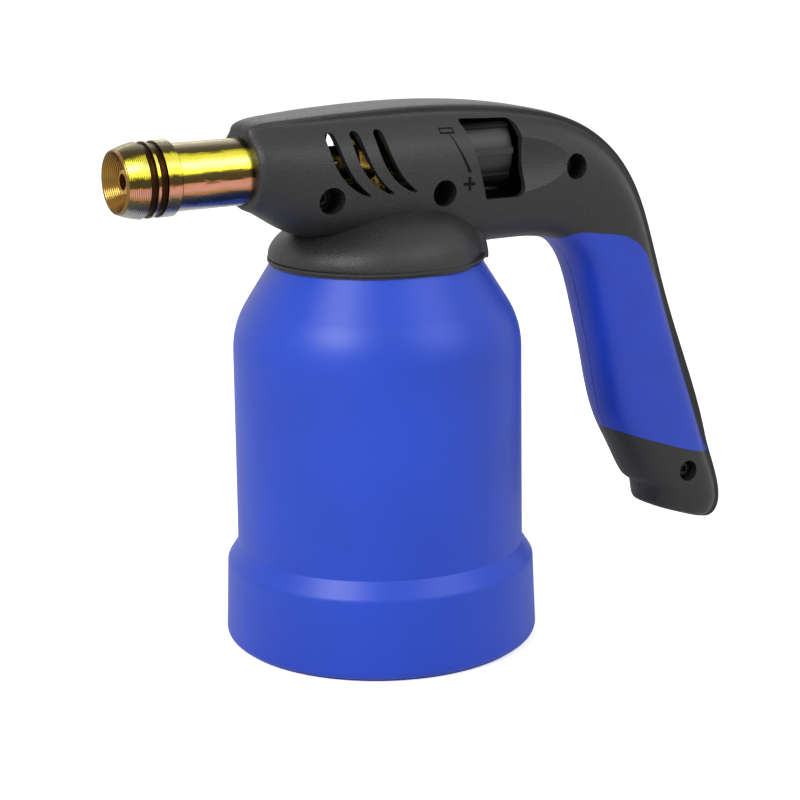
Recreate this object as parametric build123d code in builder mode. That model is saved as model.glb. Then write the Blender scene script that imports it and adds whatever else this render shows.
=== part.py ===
"""Hand gas blowlamp that burns a pierceable cartridge.

A wide bell-shaped plastic shell stands over a steel cartridge.  A base cup screws in from
below, holds the cartridge and drives it on to the piercing needle.  On the shell's neck sits
a two-part black casing that runs back into a drooping handle with two soft blue grip inlays.
The valve, jet, mixing tube and burner lie along one level line through the casing, and the
regulator knob behind the valve is reached through a window in each side.

Millimetres.  Z is up and the can's axis is X = Y = 0.  The floor is Z = 0.  The burner
points along -X, the handle hangs at +X, and the casing parts on the plane Y = 0.
"""

import os
from math import copysign, cos, radians, sin, sqrt, tan

from build123d import *

os.makedirs("parts", exist_ok=True)

# Overrun of every cutting solid past the face that it opens
overrun = 4.0
# Running gap between two pieces that turn or slide on each other
running_gap = 0.3
# Gap between two fixed pieces that are pushed together
seat_gap = 0.1

# Steel cartridge
can_radius = 45.0
can_height = 94.0
can_wall = 0.7
can_shoulder_round = 22.0
can_bottom_rise = 6.0
can_seam_width = 2.2
can_seam_height = 3.0
pierced_radius = 2.1

# Bell-shaped shell
shell_wall = 2.2
shell_lift = 0.5
can_clearance = 1.8
barrel_radius = can_radius + can_clearance + shell_wall
barrel_draft = 0.3
barrel_foot_height = 33.7
skirt_step = 4.0
skirt_draft = 1.1
skirt_height = 28.0
skirt_edge_round = 3.0
shoulder_height = 101.3
shoulder_round = 30.0
shoulder_slope = 32.0
rebate_height = 131.0
rebate_width = 2.4
neck_height = 3.5
top_plate = 2.4

# Base cup
cup_floor = 2.4
cup_foot_width = 5.0
cup_foot_height = 2.6
cup_wall = 2.4
cup_rim_clearance = 2.0
can_ring_wall = 1.8
can_ring_height = 6.0
grip_bar_width = 9.0
grip_bar_recess = 0.6

# Valve column and its fixings
axis_height = 165.1
stem_radius = 9.8
column_radius = 7.6
shoulder_plate_radius = 15.0
shoulder_plate = 4.0
neck_nut_flats = 27.0
neck_nut_height = 7.0
neck_washer = 1.4
neck_washer_radius = 17.0
seal_radius = 8.0
seal_bore = 2.6
seal_height = 4.0
seal_recess = 2.4
needle_radius = 1.6
needle_reach = 4.5
needle_point = 3.2
needle_length = 18.5
gas_way = 1.2
block_radius = 8.0
block_front = 10.0
block_back = 12.0
spout_radius = 4.5
spout_length = 4.0

# Spindle, gland and regulator knob
valve_seat = 1.0
spindle_radius = 2.4
spindle_point_share = 0.53
spindle_thread_radius = 3.4
spindle_thread_start = 4.5
spindle_thread_length = 6.0
regulator_travel = 1.5
o_ring_section = 1.0
gland_flats = 12.0
gland_length = 6.0
knob_gap = 5.7
knob_length = 22.5
knob_radius = 14.0
knob_rib_height = 0.9
knob_rib_width = 2.2
knob_rib_count = 9
knob_rib_turn = 16.0
knob_rim = 2.4
knob_web = 3.0
knob_hub_radius = 5.2
knob_screw_radius = 1.5
knob_screw_head_radius = 2.8
knob_screw_head = 2.0
knob_screw_length = 9.0

# Jet, mixing tube and burner
jet_radius = 3.4
jet_nose = 2.4
jet_nose_radius = 2.0
jet_bore = 0.4
filter_radius = 2.2
filter_length = 1.6
mixer_radius = 5.6
mixer_length = 20.0
mixer_flare = 8.0
mixer_socket = 7.0
air_hole_radius = 1.9
tube_radius = 10.87
tube_wall = 1.0
mouth_reach = 93.7
tip_radius = 12.2
mouth_radius = 10.1
mouth_wall = 0.6
tip_length = 18.4
tip_taper = 7.2
tip_bulge_share = 0.64
tip_socket = 5.6
tip_step = 0.5
groove_width = 2.6
groove_land = 0.9
groove_depth = 0.8
funnel_depth = 6.4
funnel_throat = 6.2
nozzle_radius = 4.3
nozzle_bore = 2.6
nozzle_stand = 3.6
nozzle_edge_round = 0.9
nozzle_disc = 2.2
pilot_hole_radius = 0.55
pilot_hole_count = 6

# Casing: the head over the valve
casing_wall = 2.4
head_front = 50.0
head_back = 50.0
head_rise = 18.6
head_drop = 31.1
head_half_width = 20.5
front_round = 3.2
section_steps = 6
end_turns = (0.0, 50.0, 90.0)

# Casing: the bend and the handle
handle_reach = 146.0
handle_drop = 163.7
handle_half_width = 14.5
handle_squareness = 2.6
heel_round = 4.5
grip_thickness = 2.2
grip_back_strip = 4.6

# Casing: the domed skirt that stands on the shell
flange_lip = 0.9
flange_height = 1.9
dome_setback = 0.6
dome_height = 17.3
dome_wall = 2.3
plain_squareness = 2.0
saddle_plate = 2.0
tube_rib = 2.0
tube_rib_place = 40.0

# Casing: vents, windows, scoops and screws
vent_height = 21.1
vent_run = 13.8
vent_pitch = 8.6
vent_count = 3
vent_front = 26.7
vent_rise = 11.9
window_corner = 4.2
window_front_corner = 1.0
scoop_length = 17.5
scoop_half_height = 11.5
scoop_depth = 3.0
scoop_drop = 1.4
screw_recess_radius = 4.45
heel_recess_radius = 3.85
screw_head_radius = 3.1
screw_head = 2.2
screw_radius = 1.5
screw_clearance_radius = 1.8
screw_length = 15.0
screw_seat = 8.6
screw_shelf = 1.6
screw_boss_radius = 3.0
recess_wall = 1.2
seam_gap = 0.08
grip_seam_gap = 0.15

# Stations of the head: place along it, rise of its top, fall of its underside, half width
# and squareness, where 2 is a plain ellipse
head_station_shares = [
    (0.032, 0.850, 0.445, 0.765, 2.0),
    (0.06, 0.878, 0.495, 0.790, 2.1),
    (0.13, 0.910, 0.635, 0.854, 2.2),
    (0.24, 0.948, 0.785, 0.927, 2.3),
    (0.38, 0.980, 0.902, 0.985, 2.35),
    (0.54, 1.000, 0.968, 1.000, 2.35),
    (0.70, 0.984, 0.994, 1.000, 2.4),
    (0.86, 0.925, 1.000, 0.985, 2.4),
    (1.00, 0.828, 1.000, 0.946, 2.4),
]
# Stations of the bend and handle: reach and fall of the inner edge, then of the outer edge,
# and the half width
handle_station_shares = [
    (0.421, 0.307, 0.452, 0.041, 1.26),
    (0.476, 0.320, 0.548, 0.076, 1.19),
    (0.517, 0.348, 0.640, 0.140, 1.13),
    (0.543, 0.384, 0.706, 0.225, 1.08),
    (0.562, 0.432, 0.751, 0.326, 1.03),
    (0.581, 0.499, 0.789, 0.432, 1.01),
    (0.603, 0.582, 0.823, 0.519, 1.00),
    (0.624, 0.673, 0.860, 0.606, 1.00),
    (0.653, 0.753, 0.897, 0.693, 0.99),
    (0.695, 0.823, 0.927, 0.771, 0.98),
    (0.740, 0.893, 0.954, 0.846, 0.95),
    (0.771, 0.923, 0.981, 0.988, 0.93),
]
# Stations of the domed skirt: height, shift to the handle, half length and half width
dome_station_shares = [
    (0.00, 0.00, 1.000, 1.000),
    (0.26, 0.00, 0.975, 0.980),
    (0.44, 0.03, 0.905, 0.940),
    (0.60, 0.07, 0.803, 0.872),
    (0.75, 0.10, 0.698, 0.775),
    (0.88, 0.10, 0.600, 0.640),
    (1.00, 0.11, 0.520, 0.520),
]
# Edge of a grip inlay in side view, as reach and fall: its upper edge, then its lower edge
grip_upper_shares = [
    (0.476, 0.311),
    (0.512, 0.298),
    (0.562, 0.303),
    (0.630, 0.313),
    (0.672, 0.331),
    (0.702, 0.354),
    (0.724, 0.394),
]
grip_lower_shares = [(0.655, 0.762), (0.773, 0.799), (0.866, 0.827), (0.945, 0.845)]
# Outline of a vent in side view, as shares of its run and height: top front, front bend, lower
# tip front, lower tip back, back bend, top back, crown
vent_shares = [
    (0.000, 0.080),
    (0.246, 0.650),
    (0.970, 1.000),
    (1.000, 0.967),
    (0.493, 0.607),
    (0.254, 0.080),
    (0.127, 0.000),
]
# Corners of a side window, as shares of the knob's length and radius, from the top front
window_shares = [(0.020, 0.930), (1.050, 0.840), (1.100, -1.030), (0.351, -1.000)]
# Side place of a scoop's two ends, as shares of the head's half width
scoop_side_shares = (0.935, 0.850)
# Casing screws in side view, as reach and fall
screw_place_shares = [(-0.180, 0.172), (0.103, 0.177), (0.479, 0.151), (0.853, 0.873)]


casing_top = axis_height + head_rise
neck_top = rebate_height + neck_height
floor_height = cup_foot_height + cup_floor
can_top = floor_height + can_height
skirt_top_radius = barrel_radius + skirt_step
skirt_radius = skirt_top_radius + skirt_draft
skirt_inside = skirt_top_radius - shell_wall
half_turn = 180.0
hex_sides = 6


def ring(outer, inner, low, high):
    """Revolved ring with a rectangular section about the can's axis."""
    with BuildPart() as piece:
        with BuildSketch(Plane.XZ):
            with Locations(((outer + inner) / 2, (low + high) / 2)):
                Rectangle(outer - inner, high - low)
        revolve(axis=Axis.Z)
    return piece.part


def rod(radius, start, end, height=None):
    """Round bar along X on the burner's axis, from start to end."""
    level = axis_height if height is None else height
    plane = Plane(origin=(start, 0, level), x_dir=(0, 1, 0), z_dir=(1, 0, 0))
    with BuildPart() as piece:
        with BuildSketch(plane):
            Circle(radius)
        extrude(amount=end - start)
    return piece.part


def turned(points, height=None):
    """Body turned about the burner's axis from (place, radius) points."""
    level = axis_height if height is None else height
    with BuildPart() as piece:
        with BuildSketch(Plane.XZ):
            with BuildLine():
                Polyline(*[(x, level + r) for x, r in points], close=True)
            make_face()
        revolve(axis=Axis((0, 0, level), (1, 0, 0)))
    return piece.part


def write(piece, name):
    """Label a finished piece and write its own STEP file."""
    piece.label = name
    export_step(piece, "parts/" + name + ".step")


def shell_cone_radius(height, inset=0.0):
    """Radius of the shell's sloping shoulder at a height, or of its inner face."""
    angle = radians(shoulder_slope)
    centre = barrel_radius - shoulder_round
    end_radius = centre + (shoulder_round - inset) * cos(angle)
    end_height = shoulder_height + (shoulder_round - inset) * sin(angle)
    return end_radius - (height - end_height) * tan(angle)


cone_radius = shell_cone_radius(rebate_height)
neck_radius = cone_radius - rebate_width
flange_radius = cone_radius + flange_lip
dome_radius = flange_radius - dome_setback


def shell_form(inset, bottom, cap, throat):
    """Solid bell: the shell's outside, or its hollow when inset by the wall."""
    angle = radians(shoulder_slope)
    centre = barrel_radius - shoulder_round
    bend = shoulder_round - inset
    arc_start = (barrel_radius - inset, shoulder_height)
    arc_mid = (centre + bend * cos(angle / 2), shoulder_height + bend * sin(angle / 2))
    arc_end = (centre + bend * cos(angle), shoulder_height + bend * sin(angle))
    top = [arc_end]
    if inset:
        top.append((throat, arc_end[1] + (arc_end[0] - throat) / tan(angle)))
    else:
        top.append((cone_radius, rebate_height))
        top.append((throat, rebate_height))
    with BuildPart() as form:
        with BuildSketch(Plane.XZ) as profile:
            with BuildLine():
                Polyline(
                    (0, cap),
                    (0, bottom),
                    (skirt_radius - inset, bottom),
                    (skirt_top_radius - inset, skirt_height - inset),
                    (barrel_radius + barrel_draft - inset, barrel_foot_height - inset),
                    arc_start,
                )
                ThreePointArc(arc_start, arc_mid, arc_end)
                Polyline(*top, (throat, cap), (0, cap))
            make_face()
            if not inset:
                foot = profile.vertices().sort_by_distance((skirt_radius, bottom))[0]
                edge = profile.vertices().sort_by_distance((skirt_top_radius, skirt_height))[0]
                fillet([foot, edge], radius=skirt_edge_round)
        revolve(axis=Axis.Z)
    return form.part


# The shell, moulded in one piece and open below
with BuildPart() as shell:
    add(shell_form(0.0, shell_lift, neck_top, neck_radius))
    add(
        shell_form(
            shell_wall, shell_lift - overrun, neck_top - top_plate, neck_radius - shell_wall
        ),
        mode=Mode.SUBTRACT,
    )
    with Locations((0, 0, neck_top)):
        Hole(stem_radius + running_gap, depth=top_plate + overrun)
write(shell.part, "shell")


def squared_ellipse(half_depth, half_width, squareness):
    """Face of a squared ellipse, from two mirrored splines that meet on the mid-plane."""
    upper = []
    for step in range(section_steps + 1):
        turn = radians(half_turn * step / section_steps)
        along = copysign(abs(cos(turn)) ** (2 / squareness), cos(turn))
        upper.append((half_depth * along, half_width * sin(turn) ** (2 / squareness)))
    lower = [(x, -y) for x, y in reversed(upper)]
    spacing = [step / section_steps for step in range(section_steps + 1)]
    upper_edge = Edge.make_spline(upper, [(0, 1), (0, -1)], parameters=spacing)
    lower_edge = Edge.make_spline(lower, [(0, -1), (0, 1)], parameters=spacing)
    return Face(Wire([upper_edge, lower_edge]))


def side_point(reach, fall):
    """Side-view point of the casing from its shares of the handle's reach and drop."""
    return (reach * handle_reach, casing_top - fall * handle_drop)


def head_section(place, rise, drop, width, squareness):
    """Lower point, upper point, half width, squareness and handle flag of a head section."""
    x = place * (head_front + head_back) - head_front
    lower = Vector(x, 0, axis_height - drop * head_drop)
    upper = Vector(x, 0, axis_height + rise * head_rise)
    return lower, upper, width * head_half_width, squareness, False


def handle_section(inner_reach, inner_fall, outer_reach, outer_fall, width):
    """Inner point, outer point, half width, squareness and handle flag of a handle section."""
    inner_x, inner_z = side_point(inner_reach, inner_fall)
    outer_x, outer_z = side_point(outer_reach, outer_fall)
    inner = Vector(inner_x, 0, inner_z)
    outer = Vector(outer_x, 0, outer_z)
    return inner, outer, width * handle_half_width, handle_squareness, True


def rounded_end(section, radius, outward):
    """Sections that round off an end, from the full section out to the end's flat."""
    inner, outer, half_width, squareness, is_handle = section
    sections = []
    for turn in end_turns:
        out = radius * sin(radians(turn))
        draw_in = radius * (1 - cos(radians(turn)))
        along = (outer - inner).normalized()
        lower = inner + outward * out + along * draw_in
        upper = outer + outward * out - along * draw_in
        sections.append((lower, upper, half_width - draw_in, squareness, is_handle))
    return sections


def casing_sections():
    """All sections of the casing's outside, from the rounded front to the rounded heel."""
    front = head_section(*head_station_shares[0])
    heel = handle_section(*handle_station_shares[-1])
    heel_down = (heel[1] - heel[0]).normalized().cross(Vector(0, -1, 0))
    sections = rounded_end(front, front_round, Vector(-1, 0, 0))[::-1]
    sections += [head_section(*row) for row in head_station_shares[1:]]
    sections += [handle_section(*row) for row in handle_station_shares[:-1]]
    sections += rounded_end(heel, heel_round, heel_down)
    return sections


def casing_form(sections, head_inset, handle_inset):
    """Smooth solid of the head and handle, drawn in all round by an inset."""
    faces = []
    for inner, outer, half_width, squareness, is_handle in sections:
        inset = handle_inset if is_handle else head_inset
        depth_line = outer - inner
        plane = Plane(
            origin=(inner + outer) / 2, x_dir=depth_line, z_dir=depth_line.cross(Vector(0, 1, 0))
        )
        face = squared_ellipse(depth_line.length / 2 - inset, half_width - inset, squareness)
        faces.append(plane.location * face)
    with BuildPart() as form:
        loft(faces)
    return form.part


def dome_form(inset, bottom):
    """Domed skirt between the flange and the head, drawn in by an inset."""
    dome_foot = rebate_height + flange_height
    faces = []
    for height, shift, length, width in dome_station_shares:
        place = Location((shift * dome_radius, 0, dome_foot + height * dome_height))
        half_length = length * dome_radius - inset
        half_width = width * dome_radius - inset
        faces.append(place * squared_ellipse(half_length, half_width, plain_squareness))
    with BuildPart() as form:
        loft(faces)
        extrude(faces[0], amount=dome_foot - bottom, dir=(0, 0, -1))
    return form.part


def side_prism(face, low, high):
    """Extrude a side-view face between two places across the casing."""
    with BuildPart() as prism:
        with BuildSketch(Plane(origin=(0, low, 0), x_dir=(1, 0, 0), z_dir=(0, -1, 0))):
            add(face)
        extrude(amount=low - high)
    return prism.part


# Base cup: foot ring, recessed floor with a grip bar, wall and the ring that centres the can
cup_radius = skirt_inside - running_gap
cup_lip_radius = skirt_radius - shell_wall - 2 * running_gap
cup_top = skirt_height - shell_wall - cup_rim_clearance
ring_inner = can_radius + running_gap
with BuildPart() as base_cup:
    add(ring(cup_lip_radius, cup_lip_radius - cup_foot_width, 0, cup_foot_height))
    with BuildSketch(Plane.XY.offset(grip_bar_recess)):
        Rectangle(2 * cup_lip_radius - cup_foot_width, grip_bar_width)
    extrude(amount=floor_height - grip_bar_recess)
    add(ring(cup_radius, 0, cup_foot_height, floor_height))
    add(ring(cup_radius, cup_radius - cup_wall, floor_height, cup_top))
    add(ring(ring_inner + can_ring_wall, ring_inner, floor_height, floor_height + can_ring_height))
    bar_edges = base_cup.edges().filter_by(Axis.X).group_by(Axis.Z)[0]
    fillet(bar_edges, radius=grip_bar_recess)
write(base_cup.part, "base_cup")

# Cartridge body with its domed top, pierced at the middle
with BuildPart() as can_body:
    shoulder_place = can_top - can_shoulder_round
    dome_start = can_radius - can_shoulder_round
    bend = sin(radians(half_turn / 4))
    for inset in (0.0, can_wall):
        round_radius = can_shoulder_round - inset
        with BuildSketch(Plane.XZ):
            with BuildLine():
                Polyline(
                    (0, can_top - inset),
                    (0, floor_height),
                    (can_radius - inset, floor_height),
                    (can_radius - inset, shoulder_place),
                )
                ThreePointArc(
                    (can_radius - inset, shoulder_place),
                    (dome_start + round_radius * bend, shoulder_place + round_radius * bend),
                    (dome_start, can_top - inset),
                )
                Line((dome_start, can_top - inset), (0, can_top - inset))
            make_face()
        revolve(axis=Axis.Z, mode=Mode.SUBTRACT if inset else Mode.ADD)
    with Locations((0, 0, can_top)):
        Hole(pierced_radius, depth=overrun)
write(can_body.part, "cartridge_body")

# Cartridge bottom: a dished disc rolled into the foot of the body
seam_outer = can_radius - can_wall
seam_inner = seam_outer - can_seam_width
with BuildPart() as can_bottom:
    with BuildSketch(Plane.XZ):
        with BuildLine():
            Polyline(
                (seam_inner, floor_height + can_seam_height),
                (seam_inner, floor_height),
                (seam_outer, floor_height),
                (seam_outer, floor_height + can_seam_height + can_wall),
                (seam_inner, floor_height + can_seam_height + can_wall),
                (0, floor_height + can_bottom_rise + can_wall),
                (0, floor_height + can_bottom_rise),
                close=True,
            )
        make_face()
    revolve(axis=Axis.Z)
write(can_bottom.part, "cartridge_bottom")

# Valve body: stem through the shell's neck, shoulder plate, column and valve block
seal_foot = can_top + seat_gap
seal_top = seal_foot + seal_height
stem_foot = seal_top - seal_recess
plate_foot = neck_top
needle_tip = can_top - needle_reach
needle_top = needle_tip + needle_length
spout_front = -block_front - spout_length
shaft_bore = spindle_thread_radius + seat_gap
with BuildPart() as valve_body:
    add(ring(stem_radius, 0, stem_foot, plate_foot))
    add(ring(shoulder_plate_radius, 0, plate_foot, plate_foot + shoulder_plate))
    fillet(valve_body.edges().filter_by(GeomType.CIRCLE).sort_by(Axis.Z)[-1], radius=running_gap)
    add(ring(column_radius, 0, plate_foot + shoulder_plate, axis_height))
    add(rod(block_radius, -block_front, block_back))
    add(rod(spout_radius, spout_front, -block_front))
    add(ring(seal_radius + seat_gap, 0, stem_foot - overrun, seal_top), mode=Mode.SUBTRACT)
    add(ring(needle_radius, 0, stem_foot, needle_top), mode=Mode.SUBTRACT)
    add(ring(gas_way, 0, needle_top, axis_height), mode=Mode.SUBTRACT)
    add(rod(shaft_bore, valve_seat, block_back + overrun), mode=Mode.SUBTRACT)
    add(rod(gas_way, -block_front, valve_seat), mode=Mode.SUBTRACT)
    add(rod(filter_radius, -block_front, filter_length - block_front), mode=Mode.SUBTRACT)
    add(rod(jet_radius, spout_front - overrun, -block_front), mode=Mode.SUBTRACT)
write(valve_body.part, "valve_body")

# Piercing needle with its gas way, and the rubber seal round it
with BuildPart() as piercing_needle:
    with BuildSketch(Plane.XZ):
        with BuildLine():
            Polyline(
                (0, needle_tip),
                (needle_radius, needle_tip + needle_point),
                (needle_radius, needle_top),
                (0, needle_top),
                close=True,
            )
        make_face()
    revolve(axis=Axis.Z)
    needle_bore = ring(needle_radius / 2, 0, needle_tip + needle_point, needle_top + overrun)
    add(needle_bore, mode=Mode.SUBTRACT)
write(piercing_needle.part, "piercing_needle")
write(ring(seal_radius, seal_bore, seal_foot, seal_top), "cartridge_seal")

# Washer and nut that draw the valve body down on to the shell's neck
washer_top = neck_top - top_plate
washer_foot = washer_top - neck_washer
write(ring(neck_washer_radius, stem_radius + seat_gap, washer_foot, washer_top), "neck_washer")
with BuildPart() as neck_nut:
    with BuildSketch(Plane.XY.offset(washer_foot - neck_nut_height)):
        RegularPolygon(neck_nut_flats / 2, hex_sides, major_radius=False)
        Circle(stem_radius, mode=Mode.SUBTRACT)
    extrude(amount=neck_nut_height)
write(neck_nut.part, "neck_nut")

# Sintered filter and jet in the valve block's spout
write(rod(filter_radius, -block_front, filter_length - block_front), "gas_filter")
jet_shape = turned(
    [
        (-block_front, jet_bore),
        (-block_front, jet_radius),
        (spout_front, jet_radius),
        (spout_front - jet_nose, jet_nose_radius),
        (spout_front - jet_nose, jet_bore),
    ]
)
write(jet_shape, "gas_jet")

# Mixing tube: pushed on the spout, bored for air, flared into the burner tube
burner_bore = tube_radius - tube_wall
mixer_end = -block_front - mixer_length
flare_end = mixer_end - mixer_flare
socket_end = flare_end - mixer_socket
mixer_wall = mixer_radius - spout_radius
air_place = spout_front - jet_nose - air_hole_radius - seat_gap
with BuildPart() as mixing_tube:
    add(
        turned(
            [
                (-block_front, spout_radius),
                (-block_front, mixer_radius),
                (mixer_end, mixer_radius),
                (flare_end, burner_bore),
                (socket_end, burner_bore),
                (socket_end, burner_bore - mixer_wall),
                (flare_end, burner_bore - mixer_wall),
                (mixer_end, spout_radius),
            ]
        )
    )
    with BuildSketch(Plane(origin=(air_place, 0, axis_height), x_dir=(1, 0, 0), z_dir=(0, -1, 0))):
        Circle(air_hole_radius)
    extrude(amount=mixer_radius + overrun, both=True, mode=Mode.SUBTRACT)
    with BuildSketch(Plane((air_place, 0, axis_height))):
        Circle(air_hole_radius)
    extrude(amount=mixer_radius + overrun, both=True, mode=Mode.SUBTRACT)
write(mixing_tube.part, "mixing_tube")

# Burner tube and its turned tip
tip_back = tip_length - mouth_reach
tube_front = tip_back - tip_socket
burner_tube_shape = turned(
    [
        (flare_end, burner_bore),
        (flare_end, tube_radius),
        (tube_front, tube_radius),
        (tube_front, burner_bore),
    ]
)
write(burner_tube_shape, "burner_tube")

groove_places = [tip_taper, tip_taper + groove_width + groove_land]
with BuildPart() as burner_tip:
    with BuildSketch(Plane.XZ):
        with BuildLine():
            mouth = (-mouth_reach, axis_height + mouth_radius)
            bend_place = (
                tip_taper / 2 - mouth_reach,
                axis_height + mouth_radius + (tip_radius - mouth_radius) * tip_bulge_share,
            )
            full = (tip_taper - mouth_reach, axis_height + tip_radius)
            ThreePointArc(mouth, bend_place, full)
            Polyline(
                full,
                (tip_back - tip_step, axis_height + tip_radius),
                (tip_back, axis_height + tip_radius - tip_step),
                (tip_back, axis_height + tube_radius),
                (tube_front, axis_height + tube_radius),
                (tube_front, axis_height + funnel_throat),
                (funnel_depth - mouth_reach, axis_height + funnel_throat),
                (-mouth_reach, axis_height + mouth_radius - mouth_wall),
                mouth,
            )
        make_face()
    revolve(axis=Axis((0, 0, axis_height), (1, 0, 0)))
    for place in groove_places:
        groove_start = place - mouth_reach
        groove = rod(tip_radius + overrun, groove_start, groove_start + groove_width)
        core = rod(tip_radius - groove_depth, groove_start, groove_start + groove_width)
        add(groove - core, mode=Mode.SUBTRACT)
write(burner_tip.part, "burner_tip")

# Flame nozzle pressed in the throat of the tip, with one main bore and a ring of pilot holes
disc_front = funnel_depth + seat_gap - mouth_reach
nozzle_front = disc_front - nozzle_stand
pilot_circle = (funnel_throat + nozzle_radius) / 2
with BuildPart() as flame_nozzle:
    add(rod(nozzle_radius, nozzle_front, disc_front))
    add(rod(funnel_throat, disc_front, disc_front + nozzle_disc))
    nozzle_plane = Plane(origin=(nozzle_front, 0, axis_height), x_dir=(0, 1, 0), z_dir=(1, 0, 0))
    with BuildSketch(nozzle_plane):
        Circle(nozzle_bore)
        with PolarLocations(pilot_circle, pilot_hole_count):
            Circle(pilot_hole_radius)
    extrude(amount=nozzle_stand + nozzle_disc, mode=Mode.SUBTRACT)
    front_edge = flame_nozzle.edges().group_by(Axis.X)[0].sort_by(SortBy.LENGTH)[-1]
    fillet(front_edge, radius=nozzle_edge_round)
write(flame_nozzle.part, "flame_nozzle")

# Regulator spindle, closed at rest, with its sealing ring, gland nut, knob and knob screw
knob_start = block_back + gland_length + knob_gap
knob_end = knob_start + knob_length
hub_end = knob_end - knob_web
spindle_end = hub_end - knob_web
point_start = valve_seat - gas_way + seat_gap
with BuildPart() as spindle:
    add(
        turned(
            [
                (point_start - gas_way, 0),
                (point_start - gas_way + spindle_radius / spindle_point_share, spindle_radius),
                (spindle_thread_start, spindle_radius),
                (spindle_thread_start, spindle_thread_radius),
                (spindle_thread_start + spindle_thread_length, spindle_thread_radius),
                (spindle_thread_start + spindle_thread_length, spindle_radius),
                (spindle_end, spindle_radius),
                (spindle_end, 0),
            ]
        )
    )
    add(rod(knob_screw_radius, spindle_end - knob_screw_length, spindle_end), mode=Mode.SUBTRACT)
write(spindle.part, "regulator_spindle")

ring_place = block_back + o_ring_section
ring_centre = spindle_radius + seat_gap + o_ring_section / 2
cavity_radius = ring_centre + o_ring_section / 2 + seat_gap
cavity_end = ring_place + o_ring_section + regulator_travel
with BuildPart() as o_ring:
    with BuildSketch(Plane.XZ):
        with Locations((ring_place, axis_height + ring_centre)):
            Circle(o_ring_section / 2)
    revolve(axis=Axis((0, 0, axis_height), (1, 0, 0)))
write(o_ring.part, "spindle_o_ring")

gland_plane = Plane(origin=(block_back, 0, axis_height), x_dir=(0, 1, 0), z_dir=(1, 0, 0))
with BuildPart() as gland_nut:
    with BuildSketch(gland_plane):
        RegularPolygon(gland_flats / 2, hex_sides, major_radius=False)
    extrude(amount=gland_length)
    add(rod(cavity_radius, block_back, cavity_end), mode=Mode.SUBTRACT)
    add(rod(spindle_radius + seat_gap, block_back, block_back + gland_length), mode=Mode.SUBTRACT)
write(gland_nut.part, "gland_nut")

knob_plane = Plane(origin=(knob_start, 0, axis_height), x_dir=(0, 1, 0), z_dir=(1, 0, 0))
knob_core = knob_radius - knob_rib_height
with BuildPart() as knob:
    with BuildSketch(knob_plane):
        Circle(knob_core)
        with PolarLocations(knob_core, knob_rib_count, start_angle=knob_rib_turn):
            Rectangle(2 * knob_rib_height, knob_rib_width)
    extrude(amount=knob_length)
    hollow_length = knob_length - knob_web
    with BuildSketch(knob_plane.offset(knob_web)):
        Circle(knob_core - knob_rim)
        Circle(knob_hub_radius, mode=Mode.SUBTRACT)
    extrude(amount=hollow_length, mode=Mode.SUBTRACT)
    add(rod(knob_hub_radius + overrun, hub_end, knob_end + overrun), mode=Mode.SUBTRACT)
    add(rod(spindle_radius, knob_start, spindle_end), mode=Mode.SUBTRACT)
    add(rod(knob_screw_radius, spindle_end, hub_end), mode=Mode.SUBTRACT)
write(knob.part, "regulator_knob")

with BuildPart() as knob_screw:
    add(rod(knob_screw_radius, spindle_end - knob_screw_length, hub_end))
    add(rod(knob_screw_head_radius, hub_end, hub_end + knob_screw_head))
    fillet(knob_screw.edges().filter_by(GeomType.CIRCLE).sort_by(Axis.X)[-1], radius=running_gap)
write(knob_screw.part, "knob_screw")


def left_half(form, gap=0.0):
    """Half of a form on the screw side, cut short of the mid-plane by a gap."""
    with BuildPart() as half:
        add(form)
        split(bisect_by=Plane.XZ.offset(gap))
    return half.part


def scoop_form(inset):
    """Shallow bowl behind a side window, or its wall's inner face when grown by a wall."""
    across, end_across = [share * head_half_width for share in scoop_side_shares]
    bowl_radius = (scoop_half_height**2 + scoop_depth**2) / (2 * scoop_depth)
    fall = scoop_depth + end_across - across
    sweep_radius = (scoop_length**2 + fall**2) / (2 * fall)
    reach = scoop_length + overrun + inset
    spots = []
    for run in (0, reach / 2, reach):
        rise = sqrt((sweep_radius + inset) ** 2 - run**2)
        spots.append((run, bowl_radius - sweep_radius + rise))
    centre = (knob_end, scoop_depth - across - bowl_radius, axis_height - scoop_drop)
    with BuildPart() as scoop:
        with BuildSketch(Plane(origin=centre, x_dir=(1, 0, 0), z_dir=(0, 0, 1))):
            with BuildLine():
                ThreePointArc(*spots)
                Polyline(spots[-1], (reach, 0), (0, 0), spots[0])
            make_face()
        revolve(axis=Axis(centre, (1, 0, 0)))
    return scoop.part


def side_rod(place, radius, low, high):
    """Round bar across the casing at a side-view place, between two places along Y."""
    with BuildPart() as piece:
        with BuildSketch(Plane(origin=(place[0], low, place[1]), x_dir=(1, 0, 0), z_dir=(0, 1, 0))):
            Circle(radius)
        extrude(amount=high - low)
    return piece.part


# Casing: outside of one half, from the head, the handle, the domed skirt and the flange
outside = casing_sections()
head = casing_form(outside, 0.0, 0.0)
with BuildPart() as outer:
    add(head)
    add(dome_form(0.0, rebate_height))
    with BuildSketch(Plane.XZ):
        with BuildLine():
            Polyline(
                (0, rebate_height),
                (neck_radius + flange_height, rebate_height),
                (flange_radius, rebate_height + flange_height / 2),
                (flange_radius, rebate_height + flange_height),
                (0, rebate_height + flange_height),
                close=True,
            )
        make_face()
    revolve(axis=Axis.Z)
outer_half = left_half(outer.part, seam_gap)

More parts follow.
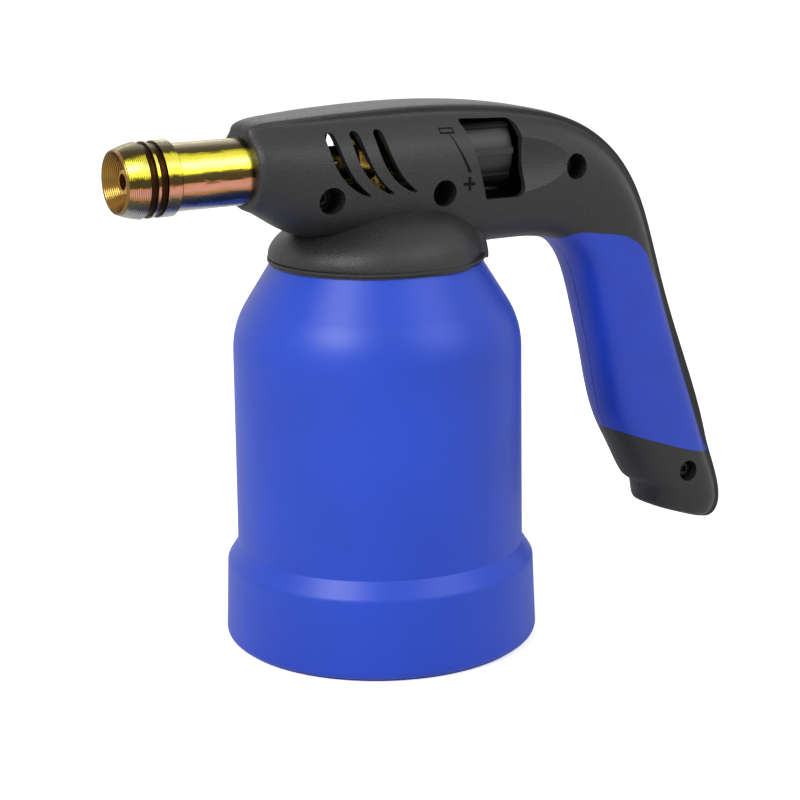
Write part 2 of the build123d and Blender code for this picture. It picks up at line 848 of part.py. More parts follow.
# Grip inlays: the outer layer of the handle inside an outline in side view
grip_floor = left_half(casing_form(outside, grip_thickness, grip_thickness), -running_gap)
upper_edge = [side_point(*share) for share in grip_upper_shares]
lower_edge = [side_point(*share) for share in grip_lower_shares]
back_edge = []
for section in outside:
    back_place = (section[1].X - grip_back_strip, section[1].Z)
    if lower_edge[-1][1] + grip_back_strip < back_place[1] < upper_edge[-1][1] - grip_back_strip:
        back_edge.append(back_place)
inner_start = (lower_edge[0][0] - screw_length, lower_edge[0][1])
inner_end = (upper_edge[0][0] - screw_length, upper_edge[0][1])
with BuildSketch() as grip_side:
    with BuildLine():
        Spline(*upper_edge)
        Polyline(upper_edge[-1], *back_edge, lower_edge[-1])
        Spline(*reversed(lower_edge))
        Polyline(lower_edge[0], inner_start, inner_end, upper_edge[0])
    make_face()
grip_prism = side_prism(grip_side.sketch, -handle_reach, handle_reach)
grip_layer = (left_half(head, seam_gap) & grip_prism) - grip_floor
grip_left = left_half(grip_layer, grip_seam_gap)
write(grip_left, "grip_left")
write(mirror(grip_left, about=Plane.XZ), "grip_right")

# Hollows of a half, with the front wall, heel, tube rib, saddle plate and scoop wall left in
heel_inner, heel_outer = outside[-len(end_turns)][:2]
heel_line = heel_outer - heel_inner
heel_plane = Plane(origin=heel_inner, x_dir=heel_line, z_dir=heel_line.cross(Vector(0, 1, 0)))
with BuildPart() as heel_wall:
    with BuildSketch(heel_plane):
        Rectangle(handle_drop, handle_drop)
    extrude(amount=-handle_drop)
wall_reach = head_rise + head_drop
front_wall = rod(wall_reach, -head_front - overrun, casing_wall - head_front)
rib_wall = rod(wall_reach, -tube_rib_place - tube_rib, -tube_rib_place)
saddle_foot = neck_top + shoulder_plate + seat_gap
saddle_wall = ring(flange_radius, 0, saddle_foot, saddle_foot + saddle_plate)
scoop_wall = scoop_form(casing_wall - running_gap)
head_walls = [heel_wall.part, front_wall, rib_wall, saddle_wall, scoop_wall]
head_inside = casing_form(outside, casing_wall, casing_wall + grip_thickness)
head_hollow = left_half(head_inside, -running_gap) - head_walls
dome_inside = dome_form(dome_wall, rebate_height - overrun)
dome_hollow = left_half(dome_inside, -running_gap) - [rib_wall, saddle_wall]
neck_hollow = ring(neck_radius + seat_gap, 0, rebate_height - overrun, neck_top + seat_gap)

# Side window, vents, bores and the relief round the knob
window_corners = []
for along, up in window_shares:
    window_corners.append((knob_start + along * knob_length, axis_height + up * knob_radius))
with BuildSketch() as window:
    with BuildLine():
        Polyline(*window_corners, close=True)
    make_face()
    back_corners = [window.vertices().sort_by_distance(spot)[0] for spot in window_corners[1:3]]
    fillet(back_corners, radius=window_corner)
    front_corners = [window.vertices().sort_by_distance(spot)[0] for spot in window_corners[0::3]]
    fillet(front_corners, radius=window_front_corner)
with BuildSketch() as vents:
    for count in range(vent_count):
        vent_x = count * vent_pitch - vent_front
        vent_z = axis_height + vent_rise
        spots = []
        for run, fall in vent_shares:
            spots.append((vent_x + run * vent_run, vent_z - fall * vent_height))
        with BuildLine():
            ThreePointArc(spots[0], spots[1], spots[2])
            Line(spots[2], spots[3])
            ThreePointArc(spots[3], spots[4], spots[5])
            ThreePointArc(spots[5], spots[6], spots[0])
        make_face()

tube_opening = tube_radius + seat_gap
knob_relief = knob_radius + 2 * running_gap
openings = [
    scoop_form(0.0),
    side_prism(window.sketch, -handle_reach, overrun),
    side_prism(vents.sketch, -handle_reach, overrun),
    rod(tube_opening, -head_front - overrun, -tube_rib_place + overrun),
    ring(column_radius + running_gap, 0, neck_top, axis_height),
    rod(knob_relief, knob_start - regulator_travel, knob_end + 2 * regulator_travel),
]


def casing_half(bosses, cuts):
    """Wall of one half, with its bosses left standing in the hollows."""
    with BuildPart() as half:
        add(outer_half)
        add(grip_layer, mode=Mode.SUBTRACT)
        add(head_hollow - bosses, mode=Mode.SUBTRACT)
        add(dome_hollow - bosses, mode=Mode.SUBTRACT)
        add(neck_hollow, mode=Mode.SUBTRACT)
        add(openings, mode=Mode.SUBTRACT)
        add(cuts, mode=Mode.SUBTRACT)
    return half.part


# The two halves: the left one takes the screw heads, the right one takes the screws' threads
screw_places = [side_point(*share) for share in screw_place_shares]
recess_radii = [screw_recess_radius] * (len(screw_places) - 1) + [heel_recess_radius]
bosses = []
recess_bosses = []
left_cuts = []
right_cuts = []
for place, recess in zip(screw_places, recess_radii):
    bosses.append(side_rod(place, screw_boss_radius, -handle_reach, overrun))
    recess_boss = side_rod(place, recess + recess_wall, -handle_reach, screw_shelf - screw_seat)
    recess_bosses.append(recess_boss)
    left_cuts.append(side_rod(place, recess, -handle_reach, -screw_seat))
    left_cuts.append(side_rod(place, screw_clearance_radius, -screw_seat, overrun))
    right_cuts.append(side_rod(place, screw_radius, screw_seat - screw_length, overrun))
write(casing_half(bosses + recess_bosses, left_cuts), "casing_left")
write(mirror(casing_half(bosses, right_cuts), about=Plane.XZ), "casing_right")

# Casing screws
with BuildPart() as casing_screws:
    for place in screw_places:
        add(side_rod(place, screw_head_radius, -screw_seat - screw_head, -screw_seat))
        add(side_rod(place, screw_radius, -screw_seat, screw_length - screw_seat))
write(casing_screws.part, "casing_screws")
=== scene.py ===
"""Hand gas blowlamp with a blue cartridge housing and a black two-part casing.

Metres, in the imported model's frame: Z up, the cartridge's axis at X = Y = 0, the burner to -X,
the handle to +X.  Each section dresses one piece or group of like pieces.
"""

from math import cos, pi, radians, sin

import bmesh
import bpy
from mathutils import Matrix, Vector
from mathutils.bvhtree import BVHTree


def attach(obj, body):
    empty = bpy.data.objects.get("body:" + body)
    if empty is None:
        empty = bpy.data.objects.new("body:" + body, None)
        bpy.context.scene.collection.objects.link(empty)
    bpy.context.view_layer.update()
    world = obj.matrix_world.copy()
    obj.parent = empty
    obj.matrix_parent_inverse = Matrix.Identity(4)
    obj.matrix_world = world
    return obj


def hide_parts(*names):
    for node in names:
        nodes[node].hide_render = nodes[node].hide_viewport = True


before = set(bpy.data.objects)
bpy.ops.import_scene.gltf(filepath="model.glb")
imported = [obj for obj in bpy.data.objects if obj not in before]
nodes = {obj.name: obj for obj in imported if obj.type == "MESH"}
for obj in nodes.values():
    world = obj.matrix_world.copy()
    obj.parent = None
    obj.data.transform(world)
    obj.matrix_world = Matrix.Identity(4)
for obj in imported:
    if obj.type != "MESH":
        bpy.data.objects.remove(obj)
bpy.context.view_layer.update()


# Housing shell: a wide bell of coloured polypropylene, injection moulded in one piece.
# Its skin is satin, with a very fine orange peel, and its blue is even from top to bottom.

millimetre = 0.001
tone_stops = (0.35, 0.65)  # shares of the noise where the dark tone ends and the light one starts


def linear(code):
    """Linear colour of an sRGB hex value."""
    parts = [int(code[at:at + 2], 16) / 255 for at in (1, 3, 5)]
    return [p / 12.92 if p <= 0.04045 else ((p + 0.055) / 1.055) ** 2.4 for p in parts] + [1.0]


def add_node(tree, kind, settings=None, links=None):
    """Adds a node; settings fill its inputs or properties, links feed its inputs."""
    new = tree.nodes.new(kind)
    for name, value in (settings or {}).items():
        if isinstance(name, int) or name in new.inputs:
            new.inputs[name].default_value = value
        else:
            setattr(new, name, value)
    for name, source in (links or {}).items():
        tree.links.new(source, new.inputs[name])
    return new


def start_material(name, base, roughness, metallic=0.0, **sockets):
    """New material with its shader, its object coordinates and its base colour set."""
    material = bpy.data.materials.new(name)
    material.use_nodes = True
    tree = material.node_tree
    shader = tree.nodes["Principled BSDF"]
    shader.inputs["Base Color"].default_value = linear(base)
    shader.inputs["Roughness"].default_value = roughness
    shader.inputs["Metallic"].default_value = metallic
    for socket, value in sockets.items():
        shader.inputs[socket.replace("_", " ")].default_value = value
    place = add_node(tree, "ShaderNodeTexCoord").outputs["Object"]
    return material, tree, shader, place


def mottle(tree, shader, place, dark, light, patch_mm):
    """Uneven base colour between two near tones, in patches of a real size."""
    noise = add_node(
        tree, "ShaderNodeTexNoise", {"Scale": 1 / (patch_mm * millimetre), "Detail": 3.0},
        {"Vector": place},
    )
    tones = add_node(tree, "ShaderNodeValToRGB", links={"Fac": noise.outputs["Fac"]})
    for stop, position, code in zip(tones.color_ramp.elements, tone_stops, (dark, light)):
        stop.position = position
        stop.color = linear(code)
    tree.links.new(tones.outputs["Color"], shader.inputs["Base Color"])


def grain(tree, shader, place, grain_mm, depth_mm, low, high):
    """Moulded or blasted grain: fine bump, with the roughness varying along with it."""
    noise = add_node(
        tree, "ShaderNodeTexNoise", {"Scale": 1 / (grain_mm * millimetre), "Detail": 2.0},
        {"Vector": place},
    )
    bump = add_node(
        tree, "ShaderNodeBump", {"Strength": 1.0, "Distance": depth_mm * millimetre},
        {"Height": noise.outputs["Fac"]},
    )
    tree.links.new(bump.outputs["Normal"], shader.inputs["Normal"])
    spread = add_node(
        tree, "ShaderNodeMapRange", {"To Min": low, "To Max": high},
        {"Value": noise.outputs["Fac"]},
    )
    tree.links.new(spread.outputs["Result"], shader.inputs["Roughness"])


def dress(material, *names):
    """Gives CAD nodes a material in place of their own."""
    for name in names:
        mesh = nodes[name].data
        mesh.materials.clear()
        mesh.materials.append(material)


shell_plastic, tree, shader, place = start_material("Moulded polypropylene", "#0D3CB6", 0.42)
mottle(tree, shader, place, "#0C3AB2", "#0F3FBC", patch_mm=40)
grain(tree, shader, place, grain_mm=0.9, depth_mm=0.006, low=0.38, high=0.48)
dress(shell_plastic, "shell")


# Base cup: carries the cartridge and screws in under it.  Moulded in the same polypropylene, it
# is a shade duller where it has stood on the bench.

cup_plastic, tree, shader, place = start_material(
    "Moulded polypropylene, scuffed", "#1239AC", 0.5
)
mottle(tree, shader, place, "#1437A2", "#173DB4", patch_mm=6)
grain(tree, shader, place, grain_mm=0.8, depth_mm=0.01, low=0.45, high=0.62)
dress(cup_plastic, "base_cup")


# Cartridge: a drawn can of lacquered tinplate, with its bottom rolled into the foot.  Left
# plain, it is bright and a little cloudy.

tinplate, tree, shader, place = start_material("Lacquered tinplate", "#C9CBCF", 0.3, 1.0)
mottle(tree, shader, place, "#BFC1C6", "#D2D4D8", patch_mm=25)
grain(tree, shader, place, grain_mm=0.4, depth_mm=0.002, low=0.24, high=0.36)
dress(tinplate, "cartridge_body", "cartridge_bottom")


# Valve body, nuts, spindle, jet and nozzle: free-machining brass, turned from bar.  Fine tool
# rings give each piece a soft sheen.  They are drawn 0.35 mm apart, which is coarser than real
# ones, so that they show.

brass_ring_mm = 0.35
brass_ring_depth_mm = 0.01
wave_period = 0.3142  # a band texture at a scale of 1 repeats after this length

turned_brass, tree, shader, place = start_material("Turned brass", "#C9A24A", 0.26, 1.0)
mottle(tree, shader, place, "#BE9640", "#D2AC56", patch_mm=5)
brass_rings = add_node(
    tree, "ShaderNodeTexWave",
    {
        "Scale": wave_period / (brass_ring_mm * millimetre), "Distortion": 0.4,
        "bands_direction": "X",
    },
    {"Vector": place},
)
bump = add_node(
    tree, "ShaderNodeBump", {"Strength": 0.5, "Distance": brass_ring_depth_mm * millimetre},
    {"Height": brass_rings.outputs["Fac"]},
)
tree.links.new(bump.outputs["Normal"], shader.inputs["Normal"])
dress(
    turned_brass, "valve_body", "neck_nut", "gas_jet", "regulator_spindle", "gland_nut",
    "flame_nozzle",
)


# Gas filter: a plug of bronze beads, sintered together and set in the valve body's spout behind
# the jet.  It looks matt and porous, and darker than the brass round it.

bead_mm = 0.25
bead_depth_mm = 0.08

sintered_bronze, tree, shader, place = start_material("Sintered bronze", "#8A6234", 0.6, 1.0)
beads = add_node(
    tree, "ShaderNodeTexVoronoi", {"Scale": 1 / (bead_mm * millimetre)}, {"Vector": place}
)
bump = add_node(
    tree, "ShaderNodeBump",
    {"Strength": 1.0, "Distance": bead_depth_mm * millimetre, "invert": True},
    {"Height": beads.outputs["Distance"]},
)
tree.links.new(bump.outputs["Normal"], shader.inputs["Normal"])
dress(sintered_bronze, "gas_filter")


# Needle, neck washer and knob screw: turned or stamped steel with bright zinc plating, which is
# blue-white and a little cloudy.

zinc_steel, tree, shader, place = start_material("Bright zinc on steel", "#B4B6B8", 0.32, 1.0)
mottle(tree, shader, place, "#A6A9AD", "#C2C4C6", patch_mm=3)
grain(tree, shader, place, grain_mm=0.3, depth_mm=0.004, low=0.26, high=0.4)
dress(zinc_steel, "piercing_needle", "neck_washer", "knob_screw")


# Cartridge seal and spindle ring: black nitrile rubber, moulded.  The seal lies round the needle
# and the ring sits in the spindle's groove, both dull.

nitrile, tree, shader, place = start_material("Nitrile rubber", "#161617", 0.62)
mottle(tree, shader, place, "#131314", "#1B1B1C", patch_mm=2)
grain(tree, shader, place, grain_mm=0.25, depth_mm=0.01, low=0.55, high=0.7)
dress(nitrile, "cartridge_seal", "spindle_o_ring")


# Burner tube: drawn steel with zinc plating, passivated yellow.  Its gold, olive and straw are the
# plating's own colours; its dark brown, rose, slate and pale grey are painted reflections, and the
# pale streak in its bright yellow is a painted highlight.  One ramp draws them all as bands round
# the tube, in streaks about 7 mm long and 1.1 mm wide.

axis_height = 0.1651
streak_shift = 0.022
film_and_reflection_stops = [  # shares of a turn from the near side, by way of the underside
    (0.000, "#4E4122"), (0.008, "#4E4122"), (0.016, "#D08A66"), (0.040, "#DC9C88"),
    (0.064, "#C4874A"), (0.076, "#5E5844"), (0.116, "#5A5848"), (0.136, "#A4A8A8"),
    (0.226, "#BDBBAA"), (0.400, "#B09A3C"), (0.600, "#A0924A"), (0.720, "#B5AC82"),
    (0.775, "#A0935C"), (0.790, "#463C22"), (0.862, "#4C4126"), (0.880, "#E6DA34"),
    (0.920, "#F4EA78"), (0.958, "#E6DA34"), (0.975, "#4E4122"), (1.000, "#4E4122"),
]


def passivation_and_reflections(name, streak_mm):
    """Plated steel: its own colours, painted reflections and a painted highlight, as bands round
    the burner.
    """
    material, tree, shader, place = start_material(name, "#B5953A", 0.2, 1.0)
    split = add_node(tree, "ShaderNodeSeparateXYZ", links={"Vector": place})
    rise = add_node(
        tree, "ShaderNodeMath", {"operation": "SUBTRACT", 1: axis_height},
        {0: split.outputs["Z"]},
    )
    turn = add_node(
        tree, "ShaderNodeMath", {"operation": "ARCTAN2"},
        {0: rise.outputs[0], 1: split.outputs["Y"]},
    )
    round_share = add_node(
        tree, "ShaderNodeMapRange", {"From Min": -pi, "From Max": pi}, {"Value": turn.outputs[0]}
    )
    stretched = add_node(
        tree, "ShaderNodeMapping", {"Scale": [1 / (size * millimetre) for size in streak_mm]},
        {"Vector": place},
    )
    streaks = add_node(
        tree, "ShaderNodeTexNoise", {"Scale": 1.0, "Detail": 4.0, "Roughness": 0.6},
        {"Vector": stretched.outputs["Vector"]},
    )
    shift = add_node(
        tree, "ShaderNodeMapRange", {"To Min": -streak_shift, "To Max": streak_shift},
        {"Value": streaks.outputs["Fac"]},
    )
    band_place = add_node(
        tree, "ShaderNodeMath", {"operation": "ADD"},
        {0: round_share.outputs["Result"], 1: shift.outputs["Result"]},
    )
    film_and_reflections = add_node(tree, "ShaderNodeValToRGB", links={"Fac": band_place.outputs[0]})
    ramp = film_and_reflections.color_ramp
    for stop, (position, code) in zip(ramp.elements, (film_and_reflection_stops[0], film_and_reflection_stops[-1])):
        stop.position = position
        stop.color = linear(code)
    for position, code in film_and_reflection_stops[1:-1]:
        ramp.elements.new(position).color = linear(code)
    tree.links.new(film_and_reflections.outputs["Color"], shader.inputs["Base Color"])
    return material, tree, shader, place, split, rise, film_and_reflections


plated_tube, tree, shader, place = passivation_and_reflections(
    "Yellow passivated steel tube, painted reflections", streak_mm=(7.143, 1.1111, 1.1111)
)[:4]
grain(tree, shader, place, grain_mm=0.35, depth_mm=0.014, low=0.16, high=0.36)
dress(plated_tube, "burner_tube")


# Burner tip: turned from steel bar, plated like the tube and fitted to its end, and banded like it
# with painted reflections and a painted highlight.  Tool rings show on its taper, drawn 0.55 mm
# apart so that they can be seen.  Its two grooves are painted dark brown as shade, and its mouth
# has gone dark.

tip_radius = 0.0122
mouth_inside = 0.0104
mouth_reach = 0.0937
groove_starts = (0.0072, 0.0107)
groove_width = 0.0026
groove_ease = 0.05 * millimetre
groove_edge = 0.25 * millimetre
groove_floor = 1.2 * millimetre
tip_ring_mm = 0.55
tip_ring_depth_mm = 0.06
dirt_and_shade_starts = 0.42
dirt_and_shade_share = 0.9
ring_dirt_and_shade = "#3E3618"
groove_shade_brown = "#34200F"
mouth_gold = "#8A6A34"

# Bands as on the tube: the plating's own colours, painted reflections and a painted highlight.
plated_tip, tree, shader, place, split, rise, film_and_reflections = passivation_and_reflections(
    "Yellow passivated steel, turned", streak_mm=(2.5, 2.0, 2.0)
)
tool_rings = add_node(
    tree, "ShaderNodeTexWave",
    {
        "Scale": wave_period / (tip_ring_mm * millimetre), "Distortion": 0.6,
        "bands_direction": "X",
    },
    {"Vector": place},
)
bump = add_node(
    tree, "ShaderNodeBump", {"Strength": 1.0, "Distance": tip_ring_depth_mm * millimetre},
    {"Height": tool_rings.outputs["Fac"]},
)
tree.links.new(bump.outputs["Normal"], shader.inputs["Normal"])

# Distance from the burner's axis
height_square = add_node(
    tree, "ShaderNodeMath", {"operation": "MULTIPLY"}, {0: rise.outputs[0], 1: rise.outputs[0]}
)
across_square = add_node(
    tree, "ShaderNodeMath", {"operation": "MULTIPLY_ADD"},
    {0: split.outputs["Y"], 1: split.outputs["Y"], 2: height_square.outputs[0]},
)
from_axis = add_node(
    tree, "ShaderNodeMath", {"operation": "SQRT"}, {0: across_square.outputs[0]}
)

# Inside the grooves the colour is painted dark brown, as shade in the recesses
below_land = add_node(
    tree, "ShaderNodeMath", {"operation": "LESS_THAN", 1: tip_radius - groove_edge},
    {0: from_axis.outputs[0]},
)
outside = add_node(
    tree, "ShaderNodeMath", {"operation": "GREATER_THAN", 1: tip_radius - groove_floor},
    {0: from_axis.outputs[0]},
)
in_depth = add_node(
    tree, "ShaderNodeMath", {"operation": "MULTIPLY"},
    {0: below_land.outputs[0], 1: outside.outputs[0]},
)
in_first, in_second = [
    add_node(
        tree, "ShaderNodeMath",
        {
            "operation": "COMPARE", 1: start + groove_width / 2 - mouth_reach,
            2: groove_width / 2 + groove_ease,
        },
        {0: split.outputs["X"]},
    )
    for start in groove_starts
]
in_groove = add_node(
    tree, "ShaderNodeMath", {"operation": "MAXIMUM"},
    {0: in_first.outputs[0], 1: in_second.outputs[0]},
)
brown = add_node(
    tree, "ShaderNodeMath", {"operation": "MULTIPLY"},
    {0: in_groove.outputs[0], 1: in_depth.outputs[0]},
)

# Dirt and painted shade lie in the tool rings of the taper
on_taper = add_node(
    tree, "ShaderNodeMath", {"operation": "LESS_THAN", 1: groove_starts[0] - mouth_reach},
    {0: split.outputs["X"]},
)
ring_valley = add_node(
    tree, "ShaderNodeMapRange", {"From Min": dirt_and_shade_starts, "From Max": 0.0, "To Max": dirt_and_shade_share},
    {"Value": tool_rings.outputs["Fac"]},
)
shade_share = add_node(
    tree, "ShaderNodeMath", {"operation": "MULTIPLY"},
    {0: ring_valley.outputs["Result"], 1: on_taper.outputs[0]},
)
ringed = add_node(
    tree, "ShaderNodeMix", {"data_type": "RGBA", 7: linear(ring_dirt_and_shade)},
    {0: shade_share.outputs[0], 6: film_and_reflections.outputs["Color"]},
)
tone = add_node(
    tree, "ShaderNodeMix", {"data_type": "RGBA", 7: linear(groove_shade_brown)},
    {0: brown.outputs[0], 6: ringed.outputs[2]},
)

# The funnel inside the mouth is heat-browned gold
in_mouth = add_node(
    tree, "ShaderNodeMath", {"operation": "LESS_THAN", 1: mouth_inside}, {0: from_axis.outputs[0]}
)
burnt = add_node(
    tree, "ShaderNodeMix", {"data_type": "RGBA", 7: linear(mouth_gold)},
    {0: in_mouth.outputs[0], 6: tone.outputs[2]},
)
tree.links.new(burnt.outputs[2], shader.inputs["Base Color"])
dress(plated_tip, "burner_tip")


# Mixing tube: the same plated steel, pushed on the valve body's spout inside the casing.  Its
# colour is painted dark olive as shade inside the casing, and only its edges catch the light
# through the vents.

inner_tube, tree, shader, place = start_material(
    "Yellow passivated steel, painted shade", "#4A3E1C", 0.4, 1.0
)
mottle(tree, shader, place, "#3E3418", "#564822", patch_mm=4)
grain(tree, shader, place, grain_mm=0.4, depth_mm=0.004, low=0.34, high=0.48)
dress(inner_tube, "mixing_tube")


# Casing: two halves of glass-filled nylon, moulded in spark-eroded tools and screwed together.
# The grain is even and gives soft, broad highlights.  It is drawn 0.7 mm across, which is
# coarser than the real one, so that it shows.

casing_nylon, tree, shader, place = start_material("Glass-filled nylon", "#151516", 0.48)
mottle(tree, shader, place, "#0D0D0E", "#1D1D1E", patch_mm=0.7)
grain(tree, shader, place, grain_mm=0.7, depth_mm=0.16, low=0.38, high=0.6)
dress(casing_nylon, "casing_left", "casing_right")


# Regulator knob: black ABS, moulded with its ribs and screwed on the spindle's end.  It comes
# from a polished tool, so it is smoother than the casing round it.

knob_abs, tree, shader, place = start_material("Moulded ABS", "#161617", 0.38)
mottle(tree, shader, place, "#141415", "#19191A", patch_mm=8)
grain(tree, shader, place, grain_mm=0.5, depth_mm=0.006, low=0.36, high=0.46)
dress(knob_abs, "regulator_knob")


# Grips: soft thermoplastic rubber, moulded into the outside of each half of the handle.  They
# are smooth and satin, and a little darker than the shell.

grip_rubber, tree, shader, place = start_material("Thermoplastic rubber", "#1439AE", 0.5)
mottle(tree, shader, place, "#1337AA", "#163CB6", patch_mm=15)
grain(tree, shader, place, grain_mm=0.6, depth_mm=0.008, low=0.42, high=0.54)
dress(grip_rubber, "grip_left", "grip_right")


# Marks beside the window: a minus, a plus and a wedge that grows between them.  They are moulded
# in the casing; their lines are strips of dull black sunk in its skin, painted shade of the marks'
# walls, so that they read as dark lines.

mark_lift = 0.05 * millimetre
mark_root = 0.3 * millimetre
probe_start = -0.1
marks_mm = [  # each lies between two lines on the side view, cut into steps
    ("minus_top", (15.2, 175.9), (20.7, 175.7), (15.2, 175.5), (20.7, 175.3), 4),
    ("minus_bottom", (15.2, 174.5), (20.7, 174.3), (15.2, 174.0), (20.7, 173.8), 4),
    ("minus_front", (15.2, 175.5), (15.2, 174.5), (15.6, 175.5), (15.6, 174.5), 2),
    ("minus_back", (20.3, 175.3), (20.3, 174.3), (20.7, 175.3), (20.7, 174.3), 2),
    ("wedge_mark", (18.5, 173.7), (24.2, 160.9), (18.8, 173.7), (25.4, 160.9), 10),
    ("plus_bar_level", (22.1, 157.7), (26.8, 157.5), (22.1, 156.6), (26.8, 156.4), 4),
    ("plus_bar_upright", (24.0, 159.4), (24.1, 154.8), (25.1, 159.4), (25.2, 154.8), 4),
]
skin = BVHTree.FromPolygons(
    [v.co.copy() for v in nodes["casing_left"].data.vertices],
    [list(p.vertices) for p in nodes["casing_left"].data.polygons],
)

# Dull black for the strips: painted shade of the marks' walls.
painted_mark_shade, tree, shader, place = start_material(
    "Painted shade of the marks", "#070707", 0.7, Specular_IOR_Level=0.1
)
mottle(tree, shader, place, "#060606", "#090909", patch_mm=3)
grain(tree, shader, place, grain_mm=0.5, depth_mm=0.004, low=0.6, high=0.8)


def on_casing(x_mm, z_mm, lift):
    """Point on the casing's near side at a side-view place, lifted off its skin."""
    start = Vector((x_mm * millimetre, probe_start, z_mm * millimetre))
    hit, normal = skin.ray_cast(start, Vector((0, 1, 0)))[:2]
    return hit + normal * lift * (-1 if normal.y > 0 else 1)


def along(start, end, steps):
    """Evenly spaced places from start to end."""
    return [
        (
            start[0] + (end[0] - start[0]) * step / steps,
            start[1] + (end[1] - start[1]) * step / steps,
        )
        for step in range(steps + 1)
    ]


def set_in_scene(name, data):
    """New object that shows a mesh, a lamp or a camera."""
    thing = bpy.data.objects.new(name, data)
    bpy.context.scene.collection.objects.link(thing)
    return thing


def sunk_strip(name, one_side, other_side):
    """Filled strip in the casing between two rows of side-view places in millimetres."""
    work = bmesh.new()
    rows = []
    for (xa, za), (xb, zb) in zip(one_side, other_side):
        corners = [on_casing(xa, za, -mark_root), on_casing(xa, za, mark_lift)]
        corners += [on_casing(xb, zb, mark_lift), on_casing(xb, zb, -mark_root)]
        rows.append([work.verts.new(corner) for corner in corners])
    for near, far in zip(rows, rows[1:]):
        for at in range(4):
            work.faces.new((near[at], near[(at + 1) % 4], far[(at + 1) % 4], far[at]))
    work.faces.new(rows[0][::-1])
    work.faces.new(rows[-1])
    bmesh.ops.recalc_face_normals(work, faces=work.faces)
    mesh = bpy.data.meshes.new(name)
    work.to_mesh(mesh)
    work.free()
    mesh.materials.append(painted_mark_shade)
    strip = set_in_scene(name, mesh)
    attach(strip, "housing")


for name, start, end, other_start, other_end, steps in marks_mm:
    sunk_strip(name, along(start, end, steps), along(other_start, other_end, steps))


# Casing screws: pan-head self-tapping screws of black phosphated steel with a cross recess, sunk
# in four round pockets.  Each was left at its own turn.

screw_places_mm = ((-26.28, 155.54), (15.04, 154.73), (69.93, 158.98), (124.54, 40.79))
screw_head_radius = 3.1 * millimetre
screw_head_height = 2.2 * millimetre
screw_head_round = 0.35 * screw_head_radius
screw_seat = 8.6 * millimetre
screw_radius = 1.5 * millimetre
screw_length = 15.0 * millimetre
recess_width = 1.0 * millimetre
recess_reach = 1.9 * millimetre
recess_depth = 1.3 * millimetre
recess_taper = 0.45
first_turn_degrees = 25
turn_step_degrees = 37
round_steps = 48
head_round_steps = 8
weld_distance = 0.01 * millimetre


def turned_screw():
    """Mesh of one screw along Y, its seat at Y = 0 and its head towards -Y."""
    profile = [(0, -screw_head_height)]
    for step in range(head_round_steps + 1):
        turn = radians(90) * step / head_round_steps
        profile.append((
            screw_head_radius - screw_head_round + screw_head_round * sin(turn),
            -screw_head_height + screw_head_round * (1 - cos(turn)),
        ))
    profile += [(screw_head_radius, 0), (screw_radius, 0)]
    profile += [(screw_radius, screw_length - screw_radius), (0, screw_length)]
    work = bmesh.new()
    points = [work.verts.new((radius, height, 0)) for radius, height in profile]
    edges = [work.edges.new(pair) for pair in zip(points, points[1:])]
    bmesh.ops.spin(
        work, geom=points + edges, cent=(0, 0, 0), axis=(0, 1, 0), angle=2 * pi,
        steps=round_steps,
    )
    bmesh.ops.remove_doubles(work, verts=work.verts, dist=weld_distance)
    bmesh.ops.recalc_face_normals(work, faces=work.faces)
    mesh = bpy.data.meshes.new("screw_blank")
    work.to_mesh(mesh)
    work.free()
    return mesh


def cross_cutter():
    """Mesh of the tapered cross driver that leaves the recess."""
    work = bmesh.new()
    for wide, tall in ((recess_width / 2, recess_reach), (recess_reach, recess_width / 2)):
        for vertex in bmesh.ops.create_cube(work, size=2.0)["verts"]:
            deep = vertex.co.y > 0
            share = recess_taper if deep else 1.0
            vertex.co.x *= wide * (share if wide > tall else 1.0)
            vertex.co.z *= tall * (share if tall > wide else 1.0)
            vertex.co.y = recess_depth - screw_head_height if deep else -2 * screw_head_height
    mesh = bpy.data.meshes.new("cross_cutter")
    work.to_mesh(mesh)
    work.free()
    return mesh


blank = set_in_scene("screw_blank", turned_screw())
cutter = set_in_scene("cross_cutter", cross_cutter())
cut = blank.modifiers.new("Recess", "BOOLEAN")
cut.operation = "DIFFERENCE"
cut.solver = "EXACT"
cut.use_self = True
cut.object = cutter
bpy.context.view_layer.update()
screw_mesh = bpy.data.meshes.new_from_object(
    blank.evaluated_get(bpy.context.evaluated_depsgraph_get())
)
for helper in (blank, cutter):
    bpy.data.objects.remove(helper)

phosphated, tree, shader, place = start_material("Phosphated steel", "#2A2A2B", 0.42, 0.8)
mottle(tree, shader, place, "#232324", "#343435", patch_mm=1)
grain(tree, shader, place, grain_mm=0.3, depth_mm=0.006, low=0.36, high=0.5)

work = bmesh.new()
for number, (x_mm, z_mm) in enumerate(screw_places_mm):
    before = len(work.verts)
    work.from_mesh(screw_mesh)
    work.verts.ensure_lookup_table()
    turn = Matrix.Rotation(radians(first_turn_degrees + turn_step_degrees * number), 4, "Y")
    move = Matrix.Translation((x_mm * millimetre, -screw_seat, z_mm * millimetre))
    bmesh.ops.transform(work, matrix=move @ turn, verts=work.verts[before:])
screws_mesh = bpy.data.meshes.new("casing_screw_set")
work.to_mesh(screws_mesh)
work.free()
screws_mesh.materials.append(phosphated)
screws = set_in_scene("casing_screw_set", screws_mesh)
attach(screws, "housing")
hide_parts("casing_screws")


# Floor and light: a pale bench under three soft boxes, in a bright room on a white ground.  The
# bench and the room are white to the camera, and the room to gloss and glass, without more
# light on the object.

floor_reach = 1.6
floor_glow = 0.61
room_light = 0.42
lamp_aim = Vector((0.02, 0, 0.1))
soft_boxes = [  # name, spot, side in metres, power in watts
    ("key_box", (-1.05, -0.45, 0.95), 0.6, 13),
    ("fill_box", (0.5, -1.1, 0.9), 0.8, 6),
    ("back_box", (0.5, 1.0, 1.1), 0.7, 3.5),
]

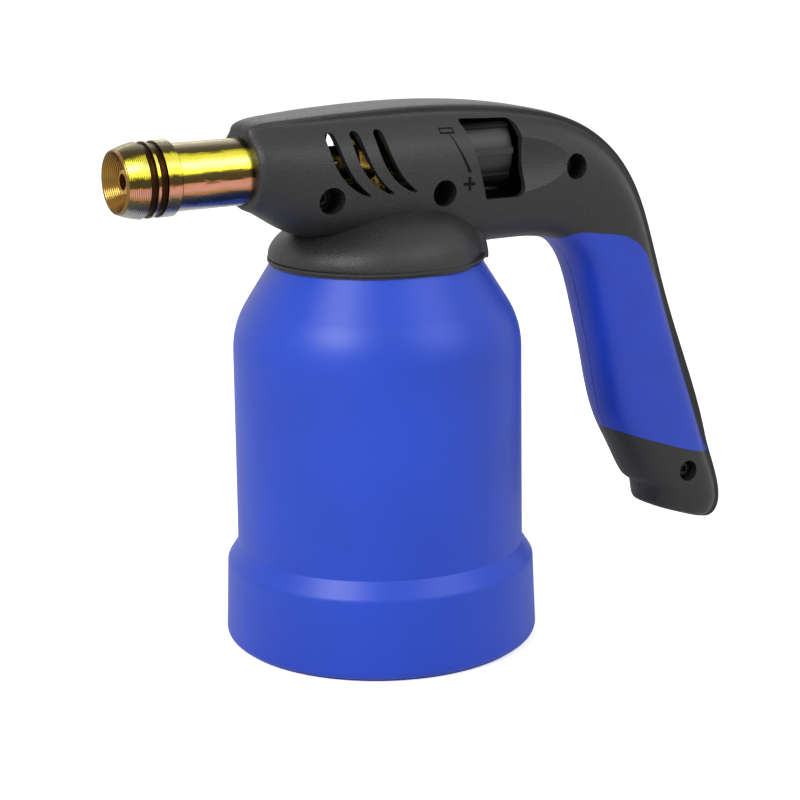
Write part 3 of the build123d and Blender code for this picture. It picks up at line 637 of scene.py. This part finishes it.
floor_mesh = bpy.data.meshes.new("floor")
floor_corners = [(side * floor_reach, end * floor_reach, 0) for side, end in (
    (-1, -1), (1, -1), (1, 1), (-1, 1)
)]
floor_mesh.from_pydata(floor_corners, [], [(0, 1, 2, 3)])
floor = set_in_scene("floor", floor_mesh)
bench, tree, shader, place = start_material(
    "Pale bench", "#F0F0F0", 0.9, Specular_IOR_Level=0.0, Emission_Color=(1.0, 1.0, 1.0, 1.0)
)
eye = add_node(tree, "ShaderNodeLightPath")
glow = add_node(
    tree, "ShaderNodeMath", {"operation": "MULTIPLY", 1: floor_glow},
    {0: eye.outputs["Is Camera Ray"]},
)
tree.links.new(glow.outputs[0], shader.inputs["Emission Strength"])
floor_mesh.materials.append(bench)

world = bpy.data.worlds.new("White room")
bpy.context.scene.world = world
world.use_nodes = True
tree = world.node_tree
rays = add_node(tree, "ShaderNodeLightPath")
seen = add_node(
    tree, "ShaderNodeMath", {"operation": "MAXIMUM"},
    {0: rays.outputs["Is Camera Ray"], 1: rays.outputs["Is Transmission Ray"]},
)
lit = add_node(
    tree, "ShaderNodeMath", {"operation": "MAXIMUM"},
    {0: seen.outputs[0], 1: rays.outputs["Is Glossy Ray"]},
)
strength = add_node(
    tree, "ShaderNodeMapRange", {"To Min": room_light, "To Max": 1.0}, {"Value": lit.outputs[0]}
)
background = tree.nodes["Background"]
background.inputs["Color"].default_value = (1.0, 1.0, 1.0, 1.0)
tree.links.new(strength.outputs["Result"], background.inputs["Strength"])

for name, spot, side, power in soft_boxes:
    lamp = bpy.data.lights.new(name, "AREA")
    lamp.size = side
    lamp.energy = power
    holder = set_in_scene(name, lamp)
    holder.location = spot
    holder.rotation_euler = (lamp_aim - Vector(spot)).to_track_quat("-Z", "Y").to_euler()


# Camera: the photograph's view, from the burner's side and a little above.

view_turn = radians(30.04)
camera_distance = 0.7
camera_height = 0.25876
camera_yaw = 0.010685
camera_pitch = 0.247045
camera_roll = -0.012442
lens_mm = 94.806
sensor_mm = 36.0

forward = Vector((
    sin(camera_yaw) * cos(camera_pitch), cos(camera_yaw) * cos(camera_pitch), -sin(camera_pitch)
))
level = Vector((cos(camera_yaw), -sin(camera_yaw), 0))
right = level * cos(camera_roll) + level.cross(forward) * sin(camera_roll)
upward = right.cross(forward)
stance = Matrix.Rotation(-view_turn, 4, "Z")
axes = Matrix((right, upward, -forward)).transposed().to_4x4()
lens = bpy.data.cameras.new("camera")
lens.lens = lens_mm
lens.sensor_width = sensor_mm
camera = set_in_scene("camera", lens)
camera.matrix_world = (
    stance @ Matrix.Translation((0, -camera_distance, camera_height)) @ axes
)
bpy.context.scene.camera = camera
bpy.context.scene.view_settings.view_transform = "Standard"
